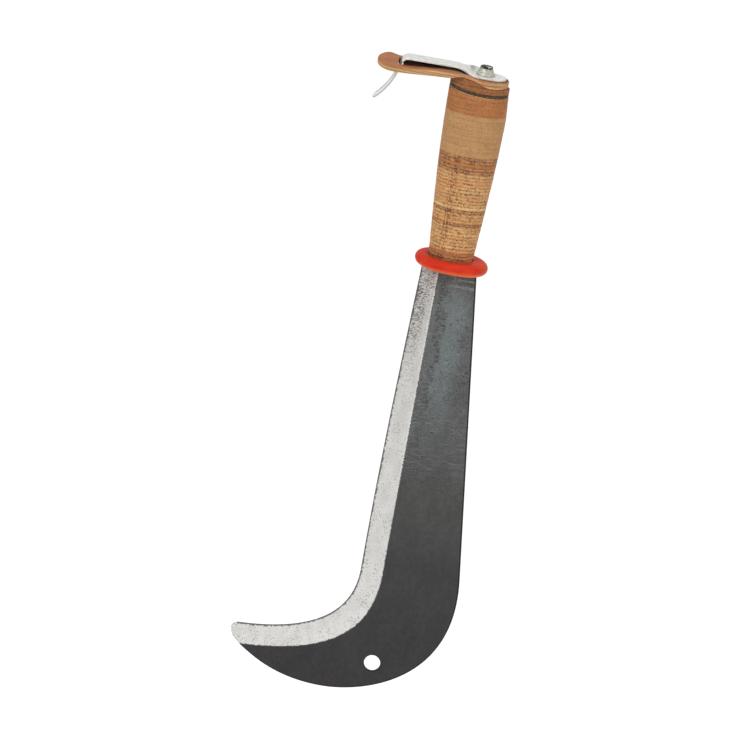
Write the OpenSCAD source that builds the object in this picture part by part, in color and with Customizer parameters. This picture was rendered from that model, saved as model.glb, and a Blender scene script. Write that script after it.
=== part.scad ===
// Billhook: hooked blade, stacked leather grip, guard ring and a belt hook riveted on the pommel.
// Sizes are in millimetres. The origin is the middle of the grip, on the axis of the tang.
// +Z runs up the grip to the pommel, -X is the cutting edge side, Y is across the blade's thickness.

/* [Blade] */
// Length of the blade from the guard to the lowest point of the belly
blade_len = 314; // [290:0.5:340]
// Length of the straight back, from the guard to the heel
back_len = 221.5; // [200:0.5:240]
// Length of the nearly straight cutting edge, from the guard to the throat
edge_len = 225; // [200:0.5:240]
// Edge side of the blade at the guard, from the tang axis
root_edge = 20.6; // [16:0.2:24]
// Back of the blade at the guard, from the tang axis
root_back = 18.2; // [14:0.2:22]
// Edge side of the blade at the throat, from the tang axis
throat_out = 25.7; // [20:0.1:34]
// Back of the blade at the heel, from the tang axis
heel_out = 44.2; // [34:0.1:56]
// Tip of the beak, from the tang axis
beak_reach = 108.6; // [94:0.2:124]
// Depth of the beak's tip below the guard
beak_drop = 283.5; // [260:0.5:300]
// Height of the blunt nose of the beak
nose_h = 11.8; // [8:0.1:15]
// Lowest point of the belly, from the tang axis towards the beak
belly_out = 39.4; // [20:0.2:50]
// Thickness of the blade at the guard
root_t = 5.5; // [4.4:0.1:7]
// Thickness of the blade at the belly
belly_t = 3.6; // [2.6:0.1:4.4]
// Width of the ground bevel at the guard
bevel_root = 12.8; // [9:0.2:16]
// Width of the ground bevel at the throat
bevel_w = 16; // [12:0.2:20]
// Thickness left along the cutting edge
edge_t = 0.5; // [0.3:0.05:1]
// Radius of the hanging hole
hole_r = 5.8; // [4:0.1:7]
// Hanging hole, from the tang axis towards the beak
hole_out = 6.4; // [0:0.2:14]
// Height of the hanging hole above the lowest point of the belly
hole_up = 22.8; // [19:0.2:32]

/* [Tang] */
// Width of the tang inside the grip
tang_w = 12; // [9:0.2:15]
// Thickness of the tang inside the grip
tang_t = 5; // [4.4:0.1:5.4]
// Radius of the round end of the tang, the pin of the hook
stub_r = 2.4; // [1.8:0.05:2.6]
// Radius of the peened head of the tang
head_r = 4.5; // [3.6:0.1:5]
// Height of the peened head of the tang
head_h = 1.6; // [1.2:0.1:3]
// Gap on each side of the tang in the washers
tang_gap = 0.2; // [0.1:0.05:0.5]

/* [Guard ring] */
// Width of the guard ring from edge side to back
guard_w = 52; // [46:0.5:60]
// Depth of the guard ring across the blade
guard_d = 48; // [42:0.5:51]
// Thickness of the guard ring
guard_t = 8.6; // [6:0.1:10]
// Depth of the seat for the grip in the guard ring
seat_d = 1.2; // [0.4:0.1:2]
// Gap around the grip in its seat
seat_gap = 0.4; // [0.2:0.05:1]

/* [Grip] */
// Number of thin leather washers, next to the guard
thin_n = 32; // [24:1:36]
// Thickness of a thin leather washer
thin_t = 2.4; // [2:0.05:3]
// Number of thick leather washers, next to the pommel
thick_n = 12; // [8:1:14]
// Thickness of a thick leather washer
thick_t = 3.73; // [3:0.01:4.4]
// Edge side of the grip at the guard, from the tang axis
grip_edge_low = 17.4; // [14:0.2:19]
// Edge side of the grip at the pommel, from the tang axis
grip_edge_high = 23.6; // [20:0.1:27]
// Back of the grip at the guard, from the tang axis
grip_back_low = 13.8; // [12:0.2:17]
// Back of the grip at the pommel, from the tang axis
grip_back_high = 19.8; // [18:0.2:25]
// Depth of the grip at the guard
grip_depth_low = 30; // [26:0.5:34]
// Depth of the grip at the pommel
grip_depth_high = 31.5; // [27:0.5:36]
// Thickness of the dark fibre spacer
spacer_t = 3; // [1.5:0.1:4]
// Thickness of the end washer
end_t = 2.5; // [2:0.1:5]
// Sides of the oval of a washer
oval_n = 48; // [36:4:64]

/* [Leather tongue] */
// Thickness of the leather tongue
tongue_t = 5; // [4:0.1:6]
// Thickness of the leather at the tongue's free end
tongue_end_t = 3.6; // [2.6:0.1:5]
// Radius of the tongue's round end on the pommel
tongue_r = 14.6; // [12:0.2:16]
// Centre of the tongue's round end on the pommel, behind the tang axis
tongue_back = 4; // [0:0.2:6]
// Radius of the tongue's free end
tongue_end_r = 13; // [9.5:0.1:15]
// Free end of the tongue, from the tang axis
tongue_reach = 76; // [72:0.5:90]
// Rise of the tongue beside the pommel
tongue_rise = 3.5; // [2:0.1:3.8]
// Drop of the tongue from its rise to its free end
tongue_drop = 1.5; // [0:0.1:4]
// Gap around the tang in the tongue
tongue_gap = 0.3; // [0.1:0.05:0.6]
// Gap around the hook in the tongue's slot
slot_gap = 1; // [0.5:0.1:1.5]

/* [Belt hook] */
// Thickness of the steel strip
strip_t = 1.6; // [1:0.1:2.2]
// Width of the steel strip
strip_w = 14.5; // [10:0.1:16]
// Width of the strip's eye on the pommel
eye_w = 19.5; // [17:0.1:23]
// Round end of the eye, behind the tang axis
eye_back = 15; // [12:0.2:17]
// Rise of the strip beside the eye
strip_rise = 4.3; // [4:0.1:6]
// Place of the hook's downward bend, from the tang axis
bend_out = 60.3; // [54:0.1:64]
// Depth of the hook's tip below the eye
tip_drop = 28.5; // [22:0.5:36]
// Outward flare of the hook's tip from the bend
tip_flare = 14.8; // [8:0.2:18]
// Radius of the hook's tip
tip_r = 6; // [3:0.1:7]
// Running gap around the tang in the hook's eye
eye_gap = 0.05; // [0.02:0.01:0.09]
// Gap between the flat faces that turn on each other
face_gap = 0.05; // [0.02:0.01:0.2]

/* [Rivet washer] */
// Radius of the conical washer
cone_r = 6.8; // [6:0.1:7.6]
// Height of the conical washer
cone_h = 4.9; // [3:0.1:6]
// Gap around the tang in the conical washer
cone_gap = 0.05; // [0.02:0.01:0.2]

/* [Hidden] */
$fn = 64;

// Heights of the stack, from the guard to the peened head
grip_len = thin_n * thin_t + thick_n * thick_t;
grip_z = -grip_len / 2;
guard_top_z = grip_z + seat_d;
guard_z = guard_top_z - guard_t;
spacer_z = grip_len / 2;
end_z = spacer_z + spacer_t;
tongue_z = end_z + end_t + face_gap;
eye_z = tongue_z + tongue_t + face_gap;
cone_z = eye_z + strip_t + face_gap;
head_z = cone_z + cone_h;

// Washer names, numbered from the guard
washer_n = thin_n + thick_n;
washers = [for (i = [1 : washer_n]) str("leather_washer_", i < 10 ? "0" : "", i)];

// Points on a cubic curve, from step "first" to step "n"
function curve_point(p, t) =
    pow(1 - t, 3) * p[0] + 3 * t * pow(1 - t, 2) * p[1]
    + 3 * t * t * (1 - t) * p[2] + pow(t, 3) * p[3];
function curve(p, n, first = 0) = [for (i = [first : n]) curve_point(p, i / n)];
function halfway(p, n) = [for (i = [0 : n - 1]) curve_point(p, (i + 0.5) / n)];
function mix(a, b, t) = a + (b - a) * t;
function last(p) = p[len(p) - 1];

// Direction of a chain of points at point i, and the direction on its left
function along(p, i) =
    let (d = p[min(i + 1, len(p) - 1)] - p[max(i - 1, 0)]) d / norm(d);
function left_of(d) = [-d[1], d[0]];

// Outline of a strip around a chain of points p, with a thickness t at each point
function ribbon(p, t) = concat(
    [for (i = [0 : len(p) - 1]) p[i] + left_of(along(p, i)) * t[i] / 2],
    [for (i = [len(p) - 1 : -1 : 0]) p[i] - left_of(along(p, i)) * t[i] / 2]
);

// Blade outline as [x, z] from the guard's underside: edge, throat and beak
bow_n = 10;
beak_n = 26;
edge_top = [-root_edge, 0];
throat = [-throat_out, -edge_len];
nose = [-beak_reach, -beak_drop];
nose_top = nose + nose_h * [0.37, 0.4];
nose_low = nose + nose_h * [0.32, -0.6];
edge_lean = throat[0] - edge_top[0];
beak_run = throat[0] - nose_top[0];
beak_fall = throat[1] - nose_top[1];
bow_bend = [
    edge_top,
    edge_top + [0.54 * edge_lean, -edge_len / 3],
    edge_top + [1.03 * edge_lean, -edge_len * 2 / 3],
    throat
];
beak_bend = [
    throat,
    throat + [0, -0.7 * beak_fall],
    nose_top + beak_run * [0.586, 0.024],
    nose_top
];

// Blade outline: nose, belly and heel
belly = [-belly_out, -blade_len];
heel = [heel_out, -back_len];
back_slope = (heel_out - root_back) / back_len;
belly_run = belly[0] - nose_low[0];
heel_run = heel[0] - belly[0];
heel_bend = 0.8 * (heel[1] - belly[1]);
nose_curve = curve([
    nose_top,
    nose_top + nose_h * [-0.53, -0.075],
    nose_low + nose_h * [-0.4, 0.35],
    nose_low
], 8, 1);
belly_curve = curve([
    nose_low,
    nose_low + 0.375 * belly_run * [0.765, -0.652],
    belly + [-0.375 * belly_run, 0],
    belly
], 14, 1);
heel_curve = curve([
    belly,
    belly + [0.37 * heel_run, 0],
    heel + heel_bend * [back_slope, -1],
    heel
], 20, 1);
blade_outline = concat(
    curve(bow_bend, bow_n),
    curve(beak_bend, beak_n, 1),
    nose_curve,
    belly_curve,
    heel_curve,
    [[root_back, 0]]
);

// Half the blade's thickness at height z below the guard
function half_t(z) = mix(root_t, belly_t, -z / blade_len) / 2;

// Border of the ground bevel: down beside the edge, then along the beak to the belly near the nose
bevel_end = belly_curve[1];
bevel_top = [-root_edge + bevel_root, 0];
bevel_throat = [-throat_out + bevel_w, -edge_len];
bevel_bow_bend = [for (i = [0 : 3]) mix(bevel_top, bevel_throat, i / 3)];
bevel_beak_bend = [
    bevel_throat,
    bevel_throat + [0, 0.69 * (bevel_end[1] - bevel_throat[1])],
    bevel_end + [0.656 * (bevel_throat[0] - bevel_end[0]), 3],
    bevel_end
];

// Stations of the grinding: points of the edge and of the bevel's border, run on past both ends
function run_on(p, by) = concat(
    [p[0] + by[0]],
    p,
    [last(p) + by[1]]
);
past = [[0, 18], [-16, -1]];
grind_edge = run_on(concat(halfway(bow_bend, bow_n), halfway(beak_bend, beak_n)), past);
grind_border = run_on(concat(halfway(bevel_bow_bend, bow_n), halfway(bevel_beak_bend, beak_n)), past);
// The grinding passes over the bevel's two borders by this part of its width
grind_over = 0.25;

// Half outline of the grip at height s, from 0 at the guard to 1 at the pommel
function swell(low, high, s) = mix(low, high, sin(90 * min(max(s, 0), 1)));
function oval(s, gap = 0) =
    let (
        edge_x = swell(grip_edge_low, grip_edge_high, s) + gap,
        back_x = swell(grip_back_low, grip_back_high, s) + gap,
        half_d = swell(grip_depth_low, grip_depth_high, s) / 2 + gap
    )
    [for (i = [0 : oval_n - 1]) let (a = 360 * i / oval_n)
        [(back_x - edge_x) / 2 + (back_x + edge_x) / 2 * cos(a), half_d * sin(a)]];

// Tongue and strip, side view as [x, z]: flat on the pommel, then up and out
ramp_start = -cone_r - 0.3;
ramp_run = 15;
ramp_lag = 1.5;
function ramp(start, rise) = curve([
    [start, 0],
    [start - 0.3 * ramp_run, 0],
    [start - 0.45 * ramp_run, rise],
    [start - ramp_run, rise]
], 14);
tongue_flat = ramp_start - ramp_lag;
tongue_crest = tongue_flat - ramp_run;
tongue_path = concat(
    [[tongue_back + tongue_r + 2, 0]],
    ramp(tongue_flat, tongue_rise),
    curve([
        [tongue_crest, tongue_rise],
        [mix(tongue_crest, -tongue_reach, 0.33), tongue_rise],
        [mix(tongue_crest, -tongue_reach, 0.67), tongue_rise - tongue_drop],
        [-tongue_reach - 2, tongue_rise - tongue_drop]
    ], 12, 1)
);
// Part of the way from the tongue's rise to its free end, where the leather gets thinner
function outward(x) = min(max((tongue_crest - x) / (tongue_crest + tongue_reach), 0), 1);
tongue_ts = [for (q = tongue_path) mix(tongue_t, tongue_end_t, outward(q[0]))];
// Wedge on the pommel: fills the space under the tongue's rise, from this point of its path on
wedge_first = 5;
wedge_top = [for (i = [wedge_first : 15])
    tongue_path[i] + left_of(along(tongue_path, i)) * tongue_ts[i] / 2 - [0, face_gap]];
wedge_out = -grip_edge_high - 2;
wedge_side = concat(
    [[wedge_top[0][0], -tongue_t / 2]],
    wedge_top,
    [[wedge_out, last(wedge_top)[1]], [wedge_out, -tongue_t / 2]]
);
bend_start = [-bend_out + 7, strip_rise];
bend_end = [-bend_out, -4];
hook_tip = [-bend_out - tip_flare, -tip_drop];
hook_path = concat(
    [[eye_back + 2, 0]],
    ramp(ramp_start, strip_rise),
    curve([
        bend_start,
        bend_start + [-5.4, 0],
        bend_end + [0.6, 4.5],
        bend_end
    ], 12),
    curve([
        bend_end,
        bend_end + tip_drop * [-0.08, -0.3],
        hook_tip + tip_drop * [0.3, 0.28],
        hook_tip
    ], 12, 1),
    [hook_tip + [-0.62, -0.78]]
);
strip_ts = [for (q = hook_path) strip_t];

// Slot in the tongue where the hook goes through it
slot_lean = 1.8;
slot_x = -bend_out + 1;
slot_l = strip_t + slot_lean + 2 * slot_gap;
slot_w = strip_w + 2 * slot_gap;

// Conical washer: a short straight rim, then a cone up to the peened head
cone_rim = 0.8;
cone_top_r = head_r + 0.1;

// Lays a flat [x, z] shape along Y, with its middle at y = 0
module across(width) {
    rotate([90, 0, 0])
        linear_extrude(width, center = true)
            children();
}

// Plate of the blade, thinner towards the belly
module blade_plate() {
    intersection() {
        across(2 * root_t) polygon(blade_outline);
        rotate([90, 0, 90])
            linear_extrude(4 * beak_reach, center = true)
                polygon([
                    [-half_t(1), 1],
                    [-half_t(-blade_len - 1), -blade_len - 1],
                    [half_t(-blade_len - 1), -blade_len - 1],
                    [half_t(1), 1]
                ]);
    }
}

// Metal ground off one side of the edge
module grind() {
    n = len(grind_edge);
    low = edge_t / 2;
    stations = [for (i = [0 : n - 1])
        let (
            e = grind_edge[i],
            inward = grind_border[i] - e,
            rise = half_t(grind_border[i][1]) - low,
            u = e + (1 + grind_over) * inward,
            o = e - grind_over * inward
        )
        [
            [u[0], low + (1 + grind_over) * rise, u[1]],
            [o[0], low - grind_over * rise, o[1]],
            [o[0], 2 * root_t, o[1]],
            [u[0], 2 * root_t, u[1]]
        ]];
    points = [for (s = stations) for (q = s) q];
    sides = [for (i = [0 : n - 2]) for (f = [
        [4 * i + 5, 4 * i + 1, 4 * i],
        [4 * i + 4, 4 * i + 5, 4 * i],
        [4 * i + 5, 4 * i + 6, 4 * i + 2, 4 * i + 1],
        [4 * i + 6, 4 * i + 7, 4 * i + 3, 4 * i + 2],
        [4 * i + 7, 4 * i + 4, 4 * i, 4 * i + 3]
    ]) f];
    ends = [[0, 1, 2, 3], [4 * n - 1, 4 * n - 2, 4 * n - 3, 4 * n - 4]];
    polyhedron(points, concat(sides, ends));
}

// Forged blade with its tang, round tang end and peened head, one piece of steel
module blade() {
    color("dimgray") {
        translate([0, 0, guard_z])
            difference() {
                blade_plate();
                grind();
                mirror([0, 1, 0]) grind();
                translate([-hole_out, 0, hole_up - blade_len])
                    rotate([90, 0, 0])
                        cylinder(r = hole_r, h = 3 * root_t, center = true);
            }
        translate([-tang_w / 2, -min(tang_t, root_t - 0.1) / 2, guard_z - 1])
            cube([tang_w, min(tang_t, root_t - 0.1), end_z - guard_z + 1 - tang_gap]);
        translate([0, 0, end_z - 2])
            cylinder(r = stub_r, h = head_z - end_z + 3);
        translate([0, 0, head_z])
            cylinder(r1 = head_r, r2 = head_r * 0.8, h = head_h);
    }
}

// Opening for the tang in a washer
module tang_slot() {
    square([tang_w + 2 * tang_gap, tang_t + 2 * tang_gap], center = true);
}

// Half section of a disc with a full round rim
module rim_section(r) {
    square([r - guard_t / 2, guard_t]);
    translate([r - guard_t / 2, guard_t / 2])
        intersection() {
            circle(guard_t / 2);
            translate([0, -guard_t]) square(2 * guard_t);
        }
}

// Guard ring: a long round disc with a full round rim and a seat for the grip
module guard_ring() {
    side = (guard_w - guard_d) / 2;
    color("firebrick")
        translate([0, 0, guard_z])
            difference() {
                union() {
                    for (s = [-1, 1])
                        translate([s * side, 0, 0])
                            rotate_extrude() rim_section(guard_d / 2);
                    for (m = [0, 1])
                        mirror([0, m, 0])
                            rotate([90, 0, 90])
                                linear_extrude(2 * side, center = true)
                                    rim_section(guard_d / 2);
                }
                translate([0, 0, guard_t - seat_d])
                    linear_extrude(2 * seat_d) polygon(oval(0, seat_gap));
                translate([0, 0, -1])
                    linear_extrude(guard_t + 2) tang_slot();
            }
}

// Leather washer number i, counted from the guard
module leather_washer(i) {
    t = i <= thin_n ? thin_t : thick_t;
    z = i <= thin_n ? (i - 1) * thin_t : thin_n * thin_t + (i - 1 - thin_n) * thick_t;
    color(i <= thin_n ? "peru" : "burlywood")
        translate([0, 0, grip_z + z])
            linear_extrude(t)
                difference() {
                    polygon(oval((z + t / 2) / grip_len));
                    tang_slot();
                }
}

// Dark spacer near the pommel
module fibre_spacer() {
    color("saddlebrown")
        translate([0, 0, spacer_z])
            linear_extrude(spacer_t)
                difference() {
                    polygon(oval(1));
                    tang_slot();
                }
}

// Washer that closes the grip, on the tang's shoulder
module end_washer() {
    color("sienna")
        translate([0, 0, end_z])
            difference() {
                linear_extrude(end_t) polygon(oval(1));
                translate([0, 0, -1])
                    cylinder(r = stub_r + tang_gap, h = end_t + 2);
            }
}

// Leather wedge that carries the tongue's rise and turns with it
module leather_wedge() {
    color("brown")
        translate([0, 0, tongue_z])
            intersection() {
                translate([0, 0, tongue_t / 2])
                    across(2 * grip_depth_high) polygon(wedge_side);
                linear_extrude(2 * tongue_t) polygon(oval(1));
            }
}

// Plan of the tongue: a strap with a round end on the pommel and a round free end
module tongue_plan() {
    end_x = -tongue_reach + tongue_end_r;
    translate([tongue_back, 0]) circle(tongue_r);
    translate([end_x, 0]) circle(tongue_end_r);
    polygon([
        [end_x, -tongue_end_r],
        [tongue_back, -tongue_r],
        [tongue_back, tongue_r],
        [end_x, tongue_end_r]
    ]);
}

// Leather tongue: lies on the pommel, rises beside it and sticks out to the edge side
module leather_tongue() {
    high = tongue_rise + tongue_t;
    color("chocolate")
        translate([0, 0, tongue_z])
            difference() {
                intersection() {
                    translate([0, 0, tongue_t / 2])
                        across(3 * tongue_r) polygon(ribbon(tongue_path, tongue_ts));
                    translate([0, 0, -high])
                        linear_extrude(3 * high) tongue_plan();
                }
                translate([0, 0, -high])
                    cylinder(r = stub_r + tongue_gap, h = 3 * high);
                translate([slot_x - slot_l / 2, -slot_w / 2, -high])
                    cube([slot_l, slot_w, 3 * high]);
            }
}

// Plan of the steel strip: a wide round eye, a neck and a plain strip
module hook_plan() {
    eye_r = eye_w / 2;
    neck = 5;
    translate([eye_back - eye_r, 0]) circle(eye_r);
    translate([ramp_start, -eye_r]) square([eye_back - eye_r - ramp_start, eye_w]);
    polygon([
        [ramp_start, -eye_r],
        [ramp_start, eye_r],
        [ramp_start - neck, strip_w / 2],
        [ramp_start - neck, -strip_w / 2]
    ]);
    translate([-2 * tongue_reach, -strip_w / 2])
        square([2 * tongue_reach + ramp_start - neck + 1, strip_w]);
}

// End view of the hook as [y, z]: full width above, a taper to the round tip below
module hook_front() {
    top = strip_rise + 2 * strip_t;
    translate([-eye_w, bend_end[1]]) square([2 * eye_w, top - bend_end[1]]);
    polygon([
        [-strip_w / 2, bend_end[1] + 1],
        [-tip_r, hook_tip[1] + tip_r],
        [tip_r, hook_tip[1] + tip_r],
        [strip_w / 2, bend_end[1] + 1]
    ]);
    translate([0, hook_tip[1] + tip_r]) circle(tip_r);
}

// Steel belt hook: eye on the tang, strip over the tongue, end bent down through its slot
module belt_hook() {
    color("silver")
        translate([0, 0, eye_z])
            difference() {
                intersection() {
                    translate([0, 0, strip_t / 2])
                        across(2 * eye_w) polygon(ribbon(hook_path, strip_ts));
                    translate([0, 0, -2 * tip_drop])
                        linear_extrude(4 * tip_drop) hook_plan();
                    rotate([90, 0, 90])
                        linear_extrude(4 * tongue_reach, center = true) hook_front();
                }
                translate([0, 0, -tongue_t])
                    cylinder(r = stub_r + eye_gap, h = 3 * tongue_t);
            }
}

// Conical steel washer under the peened head
module rivet_washer() {
    color("lightgray")
        translate([0, 0, cone_z])
            difference() {
                union() {
                    cylinder(r = cone_r, h = cone_rim);
                    translate([0, 0, cone_rim])
                        cylinder(r1 = cone_r, r2 = cone_top_r, h = cone_h - cone_rim);
                }
                translate([0, 0, -1])
                    cylinder(r = stub_r + cone_gap, h = cone_h + 2);
            }
}

blade();
guard_ring();
for (i = [1 : washer_n])
    leather_washer(i);
fibre_spacer();
end_washer();
leather_wedge();
leather_tongue();
belt_hook();
rivet_washer();
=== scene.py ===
import bisect
import math

import bmesh
import bpy
from mathutils import Matrix, Vector, noise


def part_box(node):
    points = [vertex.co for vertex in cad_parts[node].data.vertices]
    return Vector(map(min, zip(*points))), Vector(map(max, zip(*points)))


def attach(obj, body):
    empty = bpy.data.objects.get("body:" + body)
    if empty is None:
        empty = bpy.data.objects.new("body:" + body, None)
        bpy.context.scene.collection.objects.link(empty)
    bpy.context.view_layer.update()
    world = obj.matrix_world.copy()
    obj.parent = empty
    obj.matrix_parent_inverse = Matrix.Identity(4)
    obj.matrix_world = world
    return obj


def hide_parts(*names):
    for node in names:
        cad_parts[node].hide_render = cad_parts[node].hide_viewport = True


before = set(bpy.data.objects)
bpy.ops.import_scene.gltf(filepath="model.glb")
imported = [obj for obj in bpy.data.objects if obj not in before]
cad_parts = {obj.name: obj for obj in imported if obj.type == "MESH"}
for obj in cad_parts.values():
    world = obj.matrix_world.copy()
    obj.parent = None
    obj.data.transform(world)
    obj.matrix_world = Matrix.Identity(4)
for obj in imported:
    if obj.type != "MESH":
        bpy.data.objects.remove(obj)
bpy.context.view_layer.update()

# Sizes are in millimetres in the frame's axes, and those of the floor, lamps and camera in metres.
MM = 0.001
scene = bpy.context.scene


# Small helpers

def linear(colour):
    """Linear colour of an sRGB colour given in steps of 0 to 255."""
    parts = []
    for step in colour:
        v = step / 255
        parts.append(v / 12.92 if v <= 0.04045 else ((v + 0.055) / 1.055) ** 2.4)
    return (*parts, 1.0)


def node_box(name):
    """Lowest and highest corner of a CAD node in millimetres."""
    low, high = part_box(name)
    return Vector(low) / MM, Vector(high) / MM


def smooth(low, high, value):
    """0 below low, 1 above high, with soft ends."""
    t = min(max((value - low) / (high - low), 0.0), 1.0)
    return t * t * (3 - 2 * t)


def window(value, start, full, fade, end):
    """1 from full to fade, falling softly to 0 at start and end."""
    return smooth(start, full, value) * (1 - smooth(fade, end, value))


def mix(a, b, t):
    return a + (b - a) * t


def cubic(points, t):
    """Point at t on a cubic curve of four control points."""
    a, b, c, d = (Vector(p) for p in points)
    return (1 - t) ** 3 * a + 3 * t * (1 - t) ** 2 * b + 3 * t * t * (1 - t) * c + t ** 3 * d


def curve(points, steps, first=0):
    return [cubic(points, i / steps) for i in range(first, steps + 1)]


# Materials

class Paint:
    """A material under construction. Colours are sockets, or sRGB triples in steps of 0 to 255."""

    def __init__(self, name, roughness=0.5, metallic=0.0, specular=0.5):
        self.material = bpy.data.materials.new(name)
        self.material.use_nodes = True
        self.tree = self.material.node_tree
        self.shader = self.tree.nodes["Principled BSDF"]
        self.put(self.shader.inputs["Roughness"], roughness)
        self.put(self.shader.inputs["Metallic"], metallic)
        self.put(self.shader.inputs["Specular IOR Level"], specular)
        self.place = self.add("ShaderNodeTexCoord").outputs["Object"]
        self.colour = None

    def add(self, kind, **settings):
        node = self.tree.nodes.new(kind)
        for name, value in settings.items():
            setattr(node, name, value)
        return node

    def put(self, socket, value):
        """Links a socket to another, or sets it to a number or colour."""
        if isinstance(value, bpy.types.NodeSocket):
            self.tree.links.new(value, socket)
        else:
            socket.default_value = linear(value) if isinstance(value, tuple) else value

    def math(self, operation, a, b=0.0, clamp=False):
        node = self.add("ShaderNodeMath", operation=operation, use_clamp=clamp)
        self.put(node.inputs[0], a)
        self.put(node.inputs[1], b)
        return node.outputs[0]

    def times(self, product, *others):
        for other in others:
            product = self.math("MULTIPLY", product, other)
        return product

    def distance(self, value, place):
        """Distance of a value from a place."""
        return self.math("ABSOLUTE", self.math("SUBTRACT", value, place))

    def axis(self, name):
        """One coordinate of the surface point, in millimetres."""
        node = self.add("ShaderNodeSeparateXYZ")
        self.put(node.inputs[0], self.place)
        return self.math("DIVIDE", node.outputs[name], MM)

    def span(self, value, low, high, to_low=0.0, to_high=1.0):
        """Maps low..high to to_low..to_high with soft ends, and holds it outside."""
        node = self.add("ShaderNodeMapRange", interpolation_type="SMOOTHSTEP")
        for socket, v in zip(node.inputs, (value, low, high, to_low, to_high)):
            self.put(socket, v)
        return node.outputs[0]

    def window(self, value, start, full, fade, end):
        """As the window above, for a socket."""
        return self.times(self.span(value, start, full), self.span(value, end, fade))

    def noise(self, size, detail=2.0, turn=(0, 0, 0), shift=(0, 0, 0), roughness=0.5):
        """Noise of a size in millimetres, along each axis or (across, along), turned by degrees."""
        size = (size[0], *size[-2:])
        mapping = self.add("ShaderNodeMapping", vector_type="TEXTURE")
        self.put(mapping.inputs["Vector"], self.place)
        mapping.inputs["Location"].default_value = [s * MM for s in shift]
        mapping.inputs["Rotation"].default_value = [math.radians(a) for a in turn]
        mapping.inputs["Scale"].default_value = [s * MM for s in size]
        node = self.add("ShaderNodeTexNoise")
        self.put(node.inputs["Vector"], mapping.outputs[0])
        for name, value in (("Scale", 1.0), ("Detail", detail), ("Roughness", roughness)):
            self.put(node.inputs[name], value)
        return node.outputs[0]

    def spots(self, size, low, high, detail=2.0, **layout):
        """Spots of noise: 0 where the noise is under low, and 1 where it is over high."""
        return self.span(self.noise(size, detail, **layout), low, high)

    def sway(self, size, reach, detail, **layout):
        """Noise around 0, for lines that wander."""
        return self.times(self.math("SUBTRACT", self.noise(size, detail, **layout), 0.5), reach)

    def ramp(self, value, *stops):
        """Colours along a value, as (place, colour) pairs."""
        node = self.add("ShaderNodeValToRGB")
        self.put(node.inputs[0], value)
        elements = node.color_ramp.elements
        while len(elements) < len(stops):
            elements.new(0.5)
        for element, (position, colour) in zip(elements, stops):
            element.position = position
            element.color = linear(colour)
        return node.outputs[0]

    def blend(self, fac, a, b, kind="MIX"):
        node = self.add("ShaderNodeMix", data_type="RGBA", blend_type=kind)
        self.put(node.inputs["Factor"], fac)
        self.put(node.inputs["A"], a)
        self.put(node.inputs["B"], b)
        return node.outputs["Result"]

    def cover(self, colour, *masks):
        """Lays a colour over the present one, as strong as the product of the masks."""
        self.colour = self.blend(self.times(*masks), self.colour, colour)

    def tinted(self, colour, value, low, high):
        """Colour made darker or lighter by a value of about 0.3 to 0.7."""
        factor = self.span(value, 0.3, 0.7, low, high)
        grey = self.add("ShaderNodeCombineXYZ")
        for socket in grey.inputs:
            self.put(socket, factor)
        return self.blend(1.0, colour, grey.outputs[0], "MULTIPLY")

    def tint(self, value, low, high):
        self.colour = self.tinted(self.colour, value, low, high)

    def bump(self, height, depth):
        """Relief of a depth in millimetres where height goes from 0 to 1."""
        node = self.add("ShaderNodeBump")
        node.inputs["Distance"].default_value = depth * MM
        self.put(node.inputs["Height"], height)
        previous = self.shader.inputs["Normal"]
        if previous.is_linked:
            self.put(node.inputs["Normal"], previous.links[0].from_socket)
        self.put(previous, node.outputs[0])

    def done(self, roughness=None):
        self.put(self.shader.inputs["Base Color"], self.colour)
        if roughness is not None:
            self.put(self.shader.inputs["Roughness"], roughness)
        return self.material


# Places of the pieces, from the frame
guard_low, guard_high = node_box("guard_ring")
guard_middle = (guard_low.z + guard_high.z) / 2
blade_low, blade_high = node_box("blade")
tongue_low, tongue_high = node_box("leather_tongue")
hook_back = node_box("belt_hook")[1].x
cone_low, cone_high = node_box("rivet_washer")
end_low, end_high = node_box("end_washer")
spacer_low, spacer_high = node_box("fibre_spacer")
washers = sorted(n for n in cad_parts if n.startswith("leather_washer_"))
foot_low, foot_high = node_box(washers[0])
washer_pitch = foot_high.z - foot_low.z
root_z = guard_low.z
blade_len = root_z - blade_low.z


def blade_height(p):
    """Height on the blade, from 0 at its low end to 1 at the guard."""
    height = p.span(p.axis("Z"), blade_low.z, root_z)
    height.node.interpolation_type = "LINEAR"
    return height


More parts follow.
